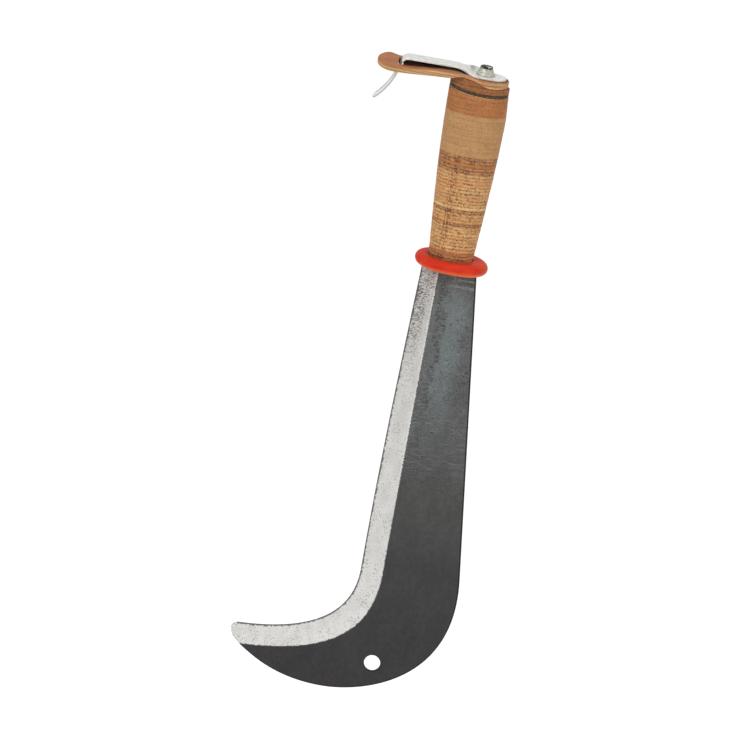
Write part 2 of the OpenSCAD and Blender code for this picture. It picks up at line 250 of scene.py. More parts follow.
def forged_steel():
    """Dark forge scale, greyer and mottled towards the guard, with pits and scratches."""
    p = Paint("forged_steel", metallic=0.3, specular=0.25)
    height = blade_height(p)
    # The ramp's last stop, darker just under the guard, is painted shade of the guard.
    p.colour = p.ramp(
        height,
        (0.0, (55, 53, 54)), (0.3, (64, 63, 63)), (0.5, (79, 79, 78)),
        (0.68, (93, 94, 93)), (0.88, (107, 109, 108)), (0.99, (84, 85, 84)))
    upper = p.span(height, 0.42, 0.8)
    cloud = p.noise((14, 26), 4.0, turn=(0, 12, 0))
    p.tint(cloud, 0.88, 1.12)
    p.tint(p.noise((3.2, 4.2), 3.0, shift=(1, 4, 2)), 0.92, 1.08)
    # A bluish middle between the plain stripe beside the bevel and the back
    across = p.math("ADD", p.axis("X"), p.sway((6, 11), 16, 4.0))
    middle = p.times(p.window(across, -1, 3, 9, 22), p.window(height, 0.54, 0.82, 0.93, 0.985))
    p.cover((112, 120, 121), middle, 0.7)
    # Ragged dark scale along the stripe's border, and a darker band towards the back
    blotch = p.times(p.window(across, -5.5, -1.5, -1, 3), p.spots((3.0, 1.3), 0.44, 0.6, 4.0))
    p.cover((58, 57, 56), blotch, upper, 0.75)
    back = p.times(p.span(across, 8, 18), p.span(height, 0.5, 0.8))
    p.cover((78, 78, 77), back, 0.35)
    # Fine grain, pits and scratches
    grain = p.noise((0.75, 0.75), roughness=0.6)
    p.cover(p.tinted(p.colour, grain, 0.8, 1.22), p.span(upper, 0.0, 1.0, 0.3, 1.0))
    pit = p.spots((1.3, 1.3), 0.62, 0.69, 1.0, shift=(7, 3, 1))
    pitted = p.times(pit, p.spots((20, 26), 0.46, 0.56, shift=(3, 9, 5)))
    p.cover((44, 43, 42), pitted, 0.75)
    marks = p.spots((9, 0.5), 0.63, 0.7, turn=(0, -16, 0))
    for turn, shift in ((24, 9), (-38, 4), (52, 1)):
        stroke = p.spots((3.6, 0.42), 0.63, 0.7, turn=(0, turn, 0), shift=(0, 5, shift))
        marks = p.math("ADD", marks, stroke, clamp=True)
    worn = p.spots((16, 20), 0.44, 0.6, shift=(8, 2, 6))
    p.cover((152, 158, 159), marks, worn, p.span(height, 0.3, 0.8, 0.0, 0.6))
    # A few long marks across the middle of the blade
    half_way = p.window(height, 0.5, 0.57, 0.64, 0.72)
    for turn in (-8, 11):
        stroke = p.spots((11, 0.55), 0.62, 0.7, 1.0, turn=(0, turn, 0), shift=(0, 3, turn))
        p.cover((134, 138, 138), stroke, half_way, 0.4)
    # Light specks and rubbed lines under the guard
    speck = p.spots((1.5, 1.0), 0.58, 0.68, shift=(2, 8, 6), roughness=0.6)
    p.cover((150, 153, 152), speck, p.span(height, 0.86, 0.95), 0.5)
    broken = p.times(p.span(p.axis("X"), 1, 6), p.spots((3, 0.8), 0.42, 0.55))
    for level, half in ((0.979, 0.003), (0.963, 0.005)):
        rub = p.span(p.distance(height, level), half, 0.3 * half)
        p.cover((146, 148, 146), rub, broken, 0.65)
    p.bump(p.noise((7, 9), 4.0), 0.12)
    p.bump(p.noise((26, 11), 1.0, shift=(6, 1, 12)), 0.3)
    p.bump(p.math("SUBTRACT", grain, pitted), 0.03)
    return p.done(p.span(cloud, 0.3, 0.7, 0.46, 0.62))


def nearly_black_rim():
    """Nearly black colour on the blade's rims and in its hole."""
    p = Paint("nearly_black_rim", metallic=0.2, specular=0.2)
    grain = p.noise((1.2, 1.8), 3.0)
    p.colour = p.ramp(grain, (0.35, (28, 27, 27)), (0.55, (40, 39, 39)), (0.72, (66, 65, 64)))
    p.bump(grain, 0.03)
    return p.done(p.span(grain, 0.3, 0.7, 0.5, 0.65))


def ground_steel():
    """Ground bevel: light steel with dark specks and cross marks, denser near the guard."""
    p = Paint("ground_steel", metallic=0.2, specular=0.3)
    height = blade_height(p)
    # The map holds the distances to the cutting edge and to the bevel's border, in millimetres
    split = p.add("ShaderNodeSeparateXYZ")
    p.put(split.inputs[0], p.add("ShaderNodeUVMap", uv_map="bevel").outputs[0])
    from_edge, from_border = split.outputs["X"], split.outputs["Y"]
    p.colour = p.ramp(
        height,
        (0.0, (228, 226, 223)), (0.22, (222, 220, 217)), (0.4, (213, 212, 209)),
        (0.6, (212, 211, 208)), (1.0, (196, 193, 189)))
    p.tint(p.noise((7, 12), 3.0), 0.93, 1.05)
    # Fine specks everywhere, in patches
    grain = p.noise((0.95, 0.8), roughness=0.6)
    patch = p.span(p.noise((9, 14), shift=(2, 6, 3)), 0.4, 0.62, 0.35, 0.9)
    p.cover((122, 118, 116), p.span(grain, 0.55, 0.68), patch)
    # Short marks across the bevel near the guard, mostly on the side of the cutting edge
    wear = p.times(p.span(height, 0.52, 0.94), p.span(from_edge, 13, 7, 0.4, 1.0))
    wear = p.math("MAXIMUM", wear, p.span(height, 0.84, 0.98))
    low = p.span(wear, 0.0, 1.0, 0.66, 0.47)
    cross = p.noise((1.7, 0.62), turn=(0, -9, 0), roughness=0.6)
    cross = p.span(cross, low, p.math("ADD", low, 0.1))
    p.cover((84, 82, 80), cross, wear, 0.85)
    # Dark broken line on the cutting edge; along the border, a bright line of painted highlight and ragged
    # scale.
    ragged = p.times(p.noise((1.3, 1.6)), 3.0)
    rim = p.span(p.math("SUBTRACT", from_edge, ragged), -0.2, -0.6)
    p.cover((66, 64, 62), rim, 0.85)
    painted_highlight = p.times(p.span(from_border, 1.9, 0.9), p.span(height, 0.35, 0.6))
    p.cover((232, 231, 228), painted_highlight, 0.4)
    nick = p.times(p.noise((0.9, 1.1), shift=(4, 4, 4)), 2.0)
    scale_left = p.span(p.math("SUBTRACT", from_border, nick), -0.4, -0.7)
    p.cover((70, 69, 68), scale_left, 0.9)
    p.bump(grain, 0.015)
    return p.done(p.span(grain, 0.35, 0.65, 0.4, 0.55))


def hook_marks(p, painted_light_low_end):
    """Painted light and shade on the hook: its low end in a painted colour, a greyer painted shade on the
    low end's far border and on the lifted far side beside the rivet, and a dark painted shade in the slot.
    """
    x, y, z = (p.axis(name) for name in "XYZ")
    # Painted light and shade: the low end takes a lighter colour on the hook's face and a greyer one on its
    # rim, given by the caller.
    low_end = p.span(z, 67, 62)
    p.cover(painted_light_low_end, low_end)
    # Painted shade along the low end's far border.
    painted_shade_far_border = p.span(y, 1.8, 4.5)
    p.cover((126, 126, 124), low_end, painted_shade_far_border)
    # Painted shade: a greyer patch on the lifted far side beside the rivet.
    lifted_shade = p.times(p.window(x, -16, -10, -4, -1), p.span(y, 2, 6))
    p.cover((140, 142, 138), lifted_shade, 0.6)
    # Painted shade: dark on the strip where it passes through the slot.
    slot_shade = p.times(p.span(x, -58.3, -59.2), p.window(z, 66, 68, 74, 75.2))
    p.cover((58, 42, 32), slot_shade, 0.85)


def bare_steel(name, colour, dull, grain, roughness, painted_light_low_end=None):
    """Bright rolled steel with streaks and dull patches, and the hook's painted light and shade if it has a
    low-end colour.
    """
    p = Paint(name, metallic=0.25, specular=0.4)
    streak = p.noise(grain, 3.0)
    p.colour = colour
    p.tint(streak, 0.93, 1.05)
    spot = p.spots((3.4, 1.8, 2.4), 0.5, 0.64, 3.0)
    p.cover(dull, spot, 0.6)
    p.tint(p.noise((0.8, 0.8)), 0.94, 1.05)
    if painted_light_low_end:
        hook_marks(p, painted_light_low_end)
    p.bump(streak, 0.012)
    p.bump(p.noise((3, 3)), 0.05)
    return p.done(p.span(streak, 0.3, 0.7, roughness - 0.06, roughness + 0.08))


def peened_steel():
    """Hammered end of the tang: dark, with brighter worn spots."""
    p = Paint("peened_steel", metallic=0.7, specular=0.4)
    dent = p.noise((2.0, 1.6))
    p.colour = p.ramp(dent, (0.44, (40, 37, 34)), (0.54, (104, 100, 94)), (0.62, (196, 194, 186)))
    p.bump(dent, 0.25)
    return p.done(p.span(dent, 0.3, 0.7, 0.5, 0.38))


def red_plastic():
    """Moulded red plastic with faint flow marks and scuffs; painted light makes its underside and back end
    more orange, and painted shade darkens its top.
    """
    p = Paint("red_plastic", specular=0.05)
    flow = p.noise((14, 4), 3.0)
    p.colour = p.ramp(flow, (0.3, (200, 42, 28)), (0.5, (214, 51, 33)), (0.7, (223, 69, 41)))
    # Painted light: the underside made a light orange.
    under = p.span(p.axis("Z"), guard_middle, guard_low.z)
    p.cover((255, 132, 78), under, 0.85)
    # Painted shade: the top made darker.
    over = p.span(p.axis("Z"), guard_middle + 1.5, guard_high.z)
    p.cover((200, 66, 38), over, 0.5)
    # Painted light: the back end made more orange.
    painted_light_back_end = p.span(p.axis("X"), 17, 26)
    p.cover((200, 92, 52), painted_light_back_end, 0.6)
    scuff = p.spots((1.2, 0.35), 0.66, 0.74, turn=(10, 0, 20))
    p.cover((224, 120, 84), scuff, 0.35)
    p.bump(p.noise((10, 5)), 0.08)
    return p.done(p.span(flow, 0.3, 0.7, 0.34, 0.46))


def washer_leather(name, colour, line, light, strength, grain=0.12, warmth=0.0):
    """Sanded edge of leather washers: broken dark and light lines round the grip, scuffs along it."""
    p = Paint(name, roughness=0.62, specular=0.25)
    layers = p.noise((24, 1.1), roughness=0.6)
    p.colour = colour
    p.tint(layers, mix(1.0, 0.9, strength), mix(1.0, 1.08, strength))
    p.tint(p.noise((7, 5), 3.0, shift=(3, 3, 3)), 0.91, 1.07)
    # Lines at the pitch of the thin washers: dark at the joints and light halfway
    turns = p.math("DIVIDE", p.math("SUBTRACT", p.axis("Z"), foot_low.z), washer_pitch)
    phase = p.math("FRACT", p.math("ADD", turns, p.sway((8, 3.5), 0.9, 3.0)))
    from_half = p.distance(phase, 0.5)
    dash = p.noise((1.4, 1.6), shift=(5, 1, 2), roughness=0.6)
    worn = p.span(p.noise((8, 6), shift=(9, 4, 1)), 0.36, 0.58, 0.25, 1.0)
    dark = p.times(p.span(from_half, 0.25, 0.42), p.span(dash, 0.44, 0.56), worn)
    p.cover(line, dark, strength)
    pale = p.times(p.span(from_half, 0.2, 0.06), p.span(dash, 0.56, 0.42))
    p.cover(light, pale, 0.75 * strength)
    stray = p.spots((2.6, 0.7), 0.59, 0.67, shift=(1, 7, 4))
    p.cover(line, stray, 0.8 * strength)
    # Warm patches that wander over the joints, and upright nicks
    warm = p.spots((10, 2.4), 0.52, 0.64, shift=(6, 2, 7))
    p.cover((214, 140, 90), warm, warmth * strength)
    upright = p.spots((0.75, 1.9), 0.58, 0.66, shift=(8, 8, 3))
    p.cover(line, upright, strength)
    # More nicks along one line of the near side
    near_line = p.times(p.span(p.distance(p.axis("X"), -9), 3.5, 1), p.span(p.axis("Y"), -4, -10))
    nick = p.times(near_line, p.spots((1.1, 1.4), 0.48, 0.58, shift=(4, 6, 2)))
    p.cover(line, nick, 0.9 * strength)
    # Marks of sanding and fibres, then scuffs in patches and dots
    sanding = p.noise((0.7, 11), turn=(0, 2, 0), roughness=0.6)
    p.tint(sanding, mix(0.98, 0.9, strength), mix(1.02, 1.09, strength))
    fibre = p.noise((0.6, 0.6), roughness=0.6)
    p.tint(fibre, 1 - grain, 1 + grain)
    scuff = p.spots((0.6, 3.5), 0.62, 0.7, 1.0, shift=(2, 2, 8))
    p.cover(line, scuff, p.spots((11, 11), 0.46, 0.56, 1.0), 0.7)
    dot = p.spots((1.5, 1.9), 0.66, 0.72, 1.0, shift=(3, 5, 9))
    p.cover(line, dot, 0.5)
    p.bump(p.math("ADD", fibre, sanding), 0.06)
    p.bump(dark, -0.08)
    return p.done(p.span(fibre, 0.3, 0.7, 0.55, 0.7))


def tongue_leather():
    """Tan strap leather: pores, creases across the strap, and a painted shadow under the strip."""
    p = Paint("tongue_leather", roughness=0.5, specular=0.35)
    x = p.axis("X")
    cloud = p.noise((14, 10, 14), 3.0)
    p.colour = p.ramp(cloud, (0.3, (154, 90, 47)), (0.5, (171, 106, 57)), (0.7, (185, 120, 69)))
    pore = p.noise((0.6, 0.6))
    p.tint(pore, 0.92, 1.05)
    crease = p.spots((0.8, 16, 8), 0.6, 0.7)
    p.cover((128, 76, 44), crease, 0.3)
    # Painted shadow under and beside the strip: nearly black, narrower towards the free end, with a brown
    # fringe of painted shade
    across = p.math("ADD", p.distance(p.axis("Y"), 0), p.sway((6, 4, 6), 4, 3.0, shift=(2, 5, 1)))
    border = p.span(x, -54, -26, 8.2, 9.8)
    outside = p.math("SUBTRACT", across, border)
    under = p.window(x, -59.5, -57.5, -11, -5)
    shadow_fringe = p.span(outside, 4.4, 0.6)
    p.cover((126, 70, 44), shadow_fringe, under, 0.65)
    painted_shadow = p.times(p.span(outside, 1.2, -0.2), under)
    # A thin dark line of painted shadow round the eye
    behind = p.math("MAXIMUM", p.math("SUBTRACT", x, 5.3), 0.0)
    round_eye = p.math("SQRT", p.math("ADD", p.times(behind, behind), p.times(across, across)))
    line = p.times(p.span(round_eye, 12.2, 10.8, 0.0, 0.8), p.span(x, -14, -10))
    painted_shadow = p.math("MAXIMUM", painted_shadow, line)
    p.cover(p.tinted((38, 24, 14), pore, 0.6, 1.5), painted_shadow, 0.93)
    p.bump(pore, 0.08)
    p.bump(p.noise((5, 9, 9), 3.0), 0.2)
    return p.done(p.span(cloud, 0.3, 0.7, 0.42, 0.58))


def cut_leather():
    """Pale cut edge of the strap, with lighter and darker layers, fibres and nicks."""
    p = Paint("cut_leather", roughness=0.7, specular=0.25)
    layer = p.noise((26, 0.7), 3.0)
    p.colour = p.ramp(layer, (0.32, (158, 108, 66)), (0.46, (196, 150, 102)), (0.66, (222, 182, 136)))
    fibre = p.noise((0.5, 0.5))
    p.tint(fibre, 0.9, 1.06)
    nick = p.spots((1.6, 0.7), 0.62, 0.7, shift=(3, 0, 6))
    p.cover((112, 72, 42), nick, 0.7)
    p.bump(p.math("ADD", fibre, layer), 0.1)
    return p.done()


# Meshes

SIDES = 96
TURNS = [2 * math.pi * (i + 0.5) / SIDES for i in range(SIDES)]
CIRCLE = [(math.cos(a), math.sin(a)) for a in TURNS]
SHARP_ANGLE = math.radians(38)
WELD = 1e-4
TANG_W, TANG_T, TANG_GAP, STUB_R = 12, 5, 0.2, 2.4


def new_piece(name, bm, materials, nodes, body="tool"):
    """Turns a mesh in millimetres into a finished piece on its body."""
    bmesh.ops.remove_doubles(bm, verts=bm.verts, dist=WELD)
    bmesh.ops.recalc_face_normals(bm, faces=bm.faces)
    for edge in bm.edges:
        if edge.calc_face_angle(0) > SHARP_ANGLE:
            edge.smooth = False
    for face in bm.faces:
        face.smooth = True
    bm.transform(Matrix.Scale(MM, 4))
    mesh = bpy.data.meshes.new(name)
    bm.to_mesh(mesh)
    bm.free()
    for material in materials:
        mesh.materials.append(material)
    piece = bpy.data.objects.new(name, mesh)
    scene.collection.objects.link(piece)
    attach(piece, body)
    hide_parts(*nodes)


def loft(bm, loops, ring=True, material=0):
    """Skins a chain of equal loops. A ring joins the last loop to the first, else both ends are capped."""
    rows = [[bm.verts.new(p) for p in loop] for loop in loops]
    following = rows[1:] + rows[:1] if ring else rows[1:]
    faces = []
    for low, high in zip(rows, following):
        for corners in zip(low, low[1:] + low[:1], high[1:] + high[:1], high):
            faces.append(bm.faces.new(corners))
    if not ring:
        faces.append(bm.faces.new(rows[0][::-1]))
        faces.append(bm.faces.new(rows[-1]))
    for face in faces:
        face.material_index = material


def circle_loop(radius, z):
    return [(radius * c, radius * s, z) for c, s in CIRCLE]


def tang_loop(z, gap=0.0):
    """Section of the tang, or of a slot with a gap around it, met by rays through the circle."""
    half_w, half_d = TANG_W / 2 + gap, TANG_T / 2 + gap
    reach = [min(half_w / abs(c), half_d / abs(s)) for c, s in CIRCLE]
    return [(r * c, r * s, z) for r, (c, s) in zip(reach, CIRCLE)]


def slot_loop(z):
    return tang_loop(z, TANG_GAP)


def oval_loop(low, high, inset, z, lean=(0, 0), uneven=0.0, seed=0.0):
    """Oval of a box's plan, drawn in by inset, with a slope in x and y and hand-sanded unevenness."""
    middle = (low.x + high.x) / 2
    half_w, half_d = (high.x - low.x) / 2 - inset, (high.y - low.y) / 2 - inset
    waves = 1.6
    loop = []
    for c, s in CIRCLE:
        off = uneven * noise.noise(Vector((waves * c, waves * s, seed)))
        x = middle + (half_w + off) * c
        y = (half_d + off) * s
        loop.append((x, y, z + lean[0] * x + lean[1] * y))
    return loop


def rounded(bottom, top, low_r, high_r, steps):
    """Wall section as (inset, z) from bottom to top, with rounded corners."""
    turns = [math.pi / 2 * i / steps for i in range(steps + 1)]
    section = [(low_r * (1 - math.sin(a)), bottom + low_r * (1 - math.cos(a))) for a in turns]
    return section + [(high_r * (1 - math.cos(a)), top - high_r * (1 - math.sin(a))) for a in turns]


# Blade: curves as [x, z] from the guard's underside
root_edge, root_back = 20.6, 18.2
throat = Vector((-25.7, -225))
nose = Vector((-108.6, -283.5))
nose_h = 11.8
belly = Vector((-39.4, -blade_len))
heel = Vector((44.2, -221.5))
root_t, belly_t, edge_t = 5.5, 3.6, 0.5
bevel_root, bevel_w = 12.8, 16
hole = Vector((-6.4, 22.8 - blade_len))
hole_r, hole_chamfer = 5.8, 0.4
rim_r, rim_fade_steps = 1.1, 3
head_r = 4.5
BOW_STEPS, BEAK_STEPS, NOSE_STEPS, BELLY_STEPS, HEEL_STEPS, BACK_STEPS = 48, 64, 10, 28, 48, 24
BEVEL_END_STEP = BELLY_STEPS // 14
# The blade's materials after the forged steel
GROUND, PEENED, BLACK_RIM = 1, 2, 3

edge_top = Vector((-root_edge, 0))
nose_top = nose + nose_h * Vector((0.37, 0.4))
nose_low = nose + nose_h * Vector((0.32, -0.6))
lean = throat.x - edge_top.x
beak_run, beak_fall = throat.x - nose_top.x, throat.y - nose_top.y
bow_bend = (edge_top, edge_top + Vector((0.54 * lean, throat.y / 3)),
            edge_top + Vector((1.03 * lean, throat.y * 2 / 3)), throat)
beak_bend = (throat, throat + Vector((0, -0.7 * beak_fall)),
             nose_top + beak_run * Vector((0.586, 0.024)), nose_top)
nose_bend = (nose_top, nose_top + nose_h * Vector((-0.53, -0.075)),
             nose_low + nose_h * Vector((-0.4, 0.35)), nose_low)
belly_pull = 0.375 * (belly.x - nose_low.x)
belly_bend = (nose_low, nose_low + belly_pull * Vector((0.765, -0.652)),
              belly - Vector((belly_pull, 0)), belly)
back_slope = (heel.x - root_back) / -heel.y
heel_pull = 0.8 * (heel.y - belly.y)
heel_bend = (belly, belly + Vector((0.37 * (heel.x - belly.x), 0)),
             heel + heel_pull * Vector((back_slope, -1)), heel)


def half_t(z):
    return mix(root_t, belly_t, -z / blade_len) / 2


def rim_row(points, turn):
    """Points of the back's rounded rim, at a turn from the flat (0) to the wall (90 degrees)."""
    a = math.radians(turn)
    row = []
    for i, point in enumerate(points):
        along = (points[min(i + 1, len(points) - 1)] - points[max(i - 1, 0)]).normalized()
        r = rim_r * min(i / rim_fade_steps, 1.0)
        spot = point + Vector((-along.y, along.x)) * r * (1 - math.sin(a))
        row.append((spot, half_t(point.y) - r * (1 - math.cos(a))))
    return row


def strip(bm, first, second, material):
    """Skins the space between two equal rows."""
    for corners in zip(first, first[1:], second[1:], second):
        bm.faces.new(corners).material_index = material


def blade_side(bm, side, edge, border, tip, outer):
    """One side of the blade. Returns its open rows: edge and nose, back, and hole."""
    def verts(row):
        return [bm.verts.new((p.x, side * y, p.y + root_z)) for p, y in row]

    def crease(row):
        for a, b in zip(row, row[1:]):
            bm.edges.get((a, b)).smooth = False

    edge_row = verts([(p, edge_t / 2) for p in edge])
    border_row = verts([(p, half_t(p.y)) for p in border])
    strip(bm, edge_row, border_row, GROUND)
    crease(border_row)
    # The nose rises from the edge to the end of the bevel's border
    rise = border[-1] - edge[-1]
    climb = [min(max((p - edge[-1]).dot(rise) / rise.length_squared, 0), 1) for p in tip]
    tip_row = verts([(p, mix(edge_t / 2, half_t(p.y), c)) for p, c in zip(tip, climb)])
    bm.faces.new([edge_row[-1]] + tip_row + [border_row[-1]]).material_index = GROUND
    rim_rows = [verts(rim_row(outer, turn)) for turn in (0, 30, 60, 90)]
    for first, second in zip(rim_rows, rim_rows[1:]):
        strip(bm, first, second, BLACK_RIM)
    crease(rim_rows[0])
    # The hanging hole with its small chamfer
    hole_rows = []
    for radius, sink in ((hole_r + hole_chamfer, 0.0), (hole_r, hole_chamfer)):
        spots = [hole + radius * Vector(spot) for spot in CIRCLE]
        hole_rows.append(verts([(p, half_t(p.y) - sink) for p in spots]))
    strip(bm, *[row + row[:1] for row in hole_rows], BLACK_RIM)
    # The flat between the border, the rim and the hole
    loop = border_row + rim_rows[0][1:]
    edges = []
    for row in (loop, hole_rows[0]):
        for a, b in zip(row, row[1:] + row[:1]):
            edges.append(bm.edges.get((a, b)) or bm.edges.new((a, b)))
    bmesh.ops.triangle_fill(bm, use_beauty=True, edges=edges, normal=(0, side, 0))
    return edge_row + tip_row + [border_row[-1]], rim_rows[-1], hole_rows[1] + hole_rows[1][:1]


def head_loop(radius, z):
    """Hammered outline of the tang's end."""
    waves, slow_waves = 1.9, 0.4
    loop = []
    for x, y in CIRCLE:
        r = radius * (0.96 + 0.08 * noise.noise(Vector((waves * x, waves * y, slow_waves * z))))
        loop.append((r * x, r * y, z))
    return loop


def make_blade():
    """Blade with its bevels, rounded back and hanging hole, and the tang with its hammered head."""
    edge = curve(bow_bend, BOW_STEPS) + curve(beak_bend, BEAK_STEPS, 1)
    belly_chain = curve(belly_bend, BELLY_STEPS)
    bevel_end = belly_chain[BEVEL_END_STEP]
    bevel_top = edge_top + Vector((bevel_root, 0))
    bevel_throat = throat + Vector((bevel_w, 0))
    bevel_bend = (bevel_throat, bevel_throat + Vector((0, 0.69 * (bevel_end.y - bevel_throat.y))),
                  bevel_end + Vector((0.656 * (bevel_throat.x - bevel_end.x), 3)), bevel_end)
    border = [bevel_top.lerp(bevel_throat, i / BOW_STEPS) for i in range(BOW_STEPS)]
    border += curve(bevel_bend, BEAK_STEPS)
    tip = curve(nose_bend, NOSE_STEPS, 1) + belly_chain[1:BEVEL_END_STEP]
    outer = belly_chain[BEVEL_END_STEP:] + curve(heel_bend, HEEL_STEPS, 1)
    root = Vector((root_back, 0))
    outer += [heel.lerp(root, i / BACK_STEPS) for i in range(1, BACK_STEPS + 1)]

    bm = bmesh.new()
    bevel_map = bm.loops.layers.uv.new("bevel")
    sides = [blade_side(bm, side, edge, border, tip, outer) for side in (1, -1)]
    for first, second in zip(*sides):
        strip(bm, first, second, BLACK_RIM)
    bmesh.ops.remove_doubles(bm, verts=bm.verts, dist=WELD)
    bmesh.ops.holes_fill(bm, edges=[e for e in bm.edges if e.is_boundary], sides=0)
    # Distances to the cutting edge and to the bevel's border, for the ground steel
    for face in bm.faces:
        if face.material_index == GROUND:
            for corner in face.loops:
                spot = Vector((corner.vert.co.x, corner.vert.co.z - root_z))
                corner[bevel_map].uv = [min((spot - q).length for q in line) for line in (edge, border)]
    # Tang, round tang end and hammered head
    shoulder = end_low.z - TANG_GAP
    loft(bm, [tang_loop(root_z), tang_loop(shoulder),
              circle_loop(STUB_R, shoulder), circle_loop(STUB_R, cone_high.z)], ring=False)
    head_h = blade_high.z - cone_high.z
    head = [(0.9, 0.0), (1.0, 0.2), (1.02, 0.45), (1.0, 0.7), (0.9, 0.92), (0.55, 1.0), (0.1, 0.96)]
    head_loops = [head_loop(head_r * r, cone_high.z + head_h * h) for r, h in head]
    loft(bm, head_loops, ring=False, material=PEENED)
    new_piece("forged_blade", bm, [forged_steel(), ground_steel(), peened_steel(), nearly_black_rim()],
              nodes=["blade"])


def make_guard():
    """Guard ring: a long round disc with a full round rim and a seat for the grip, set a little askew."""
    rim = (guard_high.z - guard_low.z) / 2
    rim_steps = 16
    half_d = guard_high.y
    side = guard_high.x - half_d
    shift, tilt = 0.6, 0.028
    seat_z = foot_low.z
    seat_gap, lip, lip_bend = 0.4, 0.5, 0.15

    def loop(inset, z):
        r = half_d - inset
        spots = [(math.copysign(side, c) + r * c, r * s) for c, s in CIRCLE]
        return [(x - shift, y, z - tilt * x) for x, y in spots]

    def seat_loop(out, z):
        return oval_loop(foot_low, foot_high, -seat_gap - out, z)

    loops = [slot_loop(guard_low.z)]
    for i in range(rim_steps + 1):
        a = math.pi * i / rim_steps
        loops.append(loop(rim * (1 - math.sin(a)), guard_low.z + rim * (1 - math.cos(a))))
    loops += [seat_loop(lip, guard_high.z), seat_loop(lip_bend, guard_high.z - lip_bend),
              seat_loop(0, guard_high.z - lip), seat_loop(0, seat_z), slot_loop(seat_z)]
    bm = bmesh.new()
    loft(bm, loops)
    new_piece("moulded_guard", bm, [red_plastic()], nodes=["guard_ring"])


# Tones of the leather washers: colour, dark lines, light lines and the strength of the lines
TONES = {
    "dark": ((138, 88, 56), (80, 46, 28), (182, 132, 90), 0.85),
    "brown": ((172, 121, 79), (82, 50, 30), (208, 162, 114), 0.95),
    "russet": ((176, 114, 66), (126, 78, 45), (196, 140, 88), 0.3),
    "orange": ((211, 155, 100), (116, 73, 42), (230, 184, 130), 0.8),
    "tan": ((208, 159, 105), (110, 72, 41), (230, 188, 134), 0.84),
    "straw": ((215, 168, 112), (118, 78, 46), (238, 200, 146), 0.8),
    "cream": ((222, 180, 122), (150, 106, 66), (248, 216, 162), 0.7),
    "plain": ((188, 143, 95), (144, 102, 66), (206, 164, 116), 0.15),
}
# The tone of each washer, counted from the guard
WASHER_TONES = (
    "dark brown russet orange straw orange tan orange straw tan tan brown orange orange tan brown "
    "cream tan tan tan tan straw tan orange orange tan tan brown brown russet brown brown").split()
WASHER_TONES += 8 * ["plain"] + 4 * ["russet"]
# The joints at the pommel rise to the edge side and fall to the near side
BAND_LEAN = (-0.06, 0.085)
LEVEL = (0, 0)
UNEVEN = 0.12
SPACER_SEED, END_SEED = 50, 51


def sanded(z):
    """What is sanded off the grip's back at a height, towards the pommel."""
    most, start, full = 1.3, 40, 64
    return Vector((most * smooth(start, full, z), 0, 0))


def oval_ring(low, high, inner, corners, lean_low, lean_high, uneven, seed, inset=0.0, slot_drop=0.0):
    """Mesh of a washer on the tang: an oval wall with rounded corners, and inner loops at both ends."""
    loops = [inner(low.z)]
    for draw, z in rounded(low.z, high.z, *corners):
        slope = lean_high if z > (low.z + high.z) / 2 else lean_low
        loops.append(oval_loop(low, high - sanded(z), draw + inset, z, slope, uneven, seed))
    loops.append(inner(high.z - slot_drop))
    bm = bmesh.new()
    loft(bm, loops)
    return bm


def make_grip():
    """Leather washers, each a little wider or narrower than the next."""
    paints = {tone: washer_leather("leather_" + tone, *look, warmth=0.65) for tone, look in TONES.items()}
    corners, most_off = (0.15, 0.15, 2), 0.1
    for i, name in enumerate(washers):
        low, high = node_box(name)
        off = most_off * noise.noise(Vector((0.7 * i, 3.1, 1.7)))
        lean_top = BAND_LEAN if name == washers[-1] else LEVEL
        slot_drop = -lean_top[0] * (TANG_W / 2 + TANG_GAP)
        bm = oval_ring(low, high, slot_loop, corners, LEVEL, lean_top, UNEVEN, i, off, slot_drop)
        tone = WASHER_TONES[i % len(WASHER_TONES)]
        new_piece(name.replace("leather_washer", "leather_ring"), bm, [paints[tone]],
                  nodes=[name])


def make_spacer():
    """Dark band near the pommel, with its lower rim worn pale."""
    worn_r, top_r, steps, inset = 0.5, 0.2, 2, 0.1
    bm = oval_ring(spacer_low, spacer_high, slot_loop, (worn_r, top_r, steps), BAND_LEAN, BAND_LEAN,
                   UNEVEN, SPACER_SEED, inset)
    for face in bm.faces:
        spot = face.calc_center_median()
        if spot.z - BAND_LEAN[0] * spot.x - BAND_LEAN[1] * spot.y < spacer_low.z + worn_r:
            face.material_index = 1
    paint = washer_leather("spacer_fibre", (78, 56, 38), (48, 34, 24), (146, 118, 86), 0.6, 0.2)
    pale = washer_leather("worn_rim", (226, 190, 146), (150, 108, 72), (240, 212, 172), 0.3, 0.2)
    new_piece("dark_spacer", bm, [paint, pale], nodes=["fibre_spacer"])


def make_end_washer():
    """Brown washer that closes the grip, leaning with the dark band on its lower side."""
    def bore(z):
        return circle_loop(STUB_R + TANG_GAP, z)

    corners, uneven = (0.2, 0.5, 4), 0.15
    bm = oval_ring(end_low, end_high, bore, corners, BAND_LEAN, LEVEL, uneven, END_SEED)
    paint = washer_leather("end_leather", (152, 98, 58), (92, 54, 32), (198, 148, 106), 0.2, 0.42)
    new_piece("end_leather_washer", bm, [paint], nodes=["end_washer"])


def spot_on(params, path, s):
    """Point of a path [x, z] at s, and the direction of its upper side."""
    def at(t):
        i = min(max(bisect.bisect_left(params, t), 1), len(params) - 1)
        part = (t - params[i - 1]) / (params[i] - params[i - 1])
        return path[i - 1].lerp(path[i], part)

    step = 0.15
    along = (at(s + step) - at(s - step)).normalized()
    return at(s), Vector((along.y, -along.x))


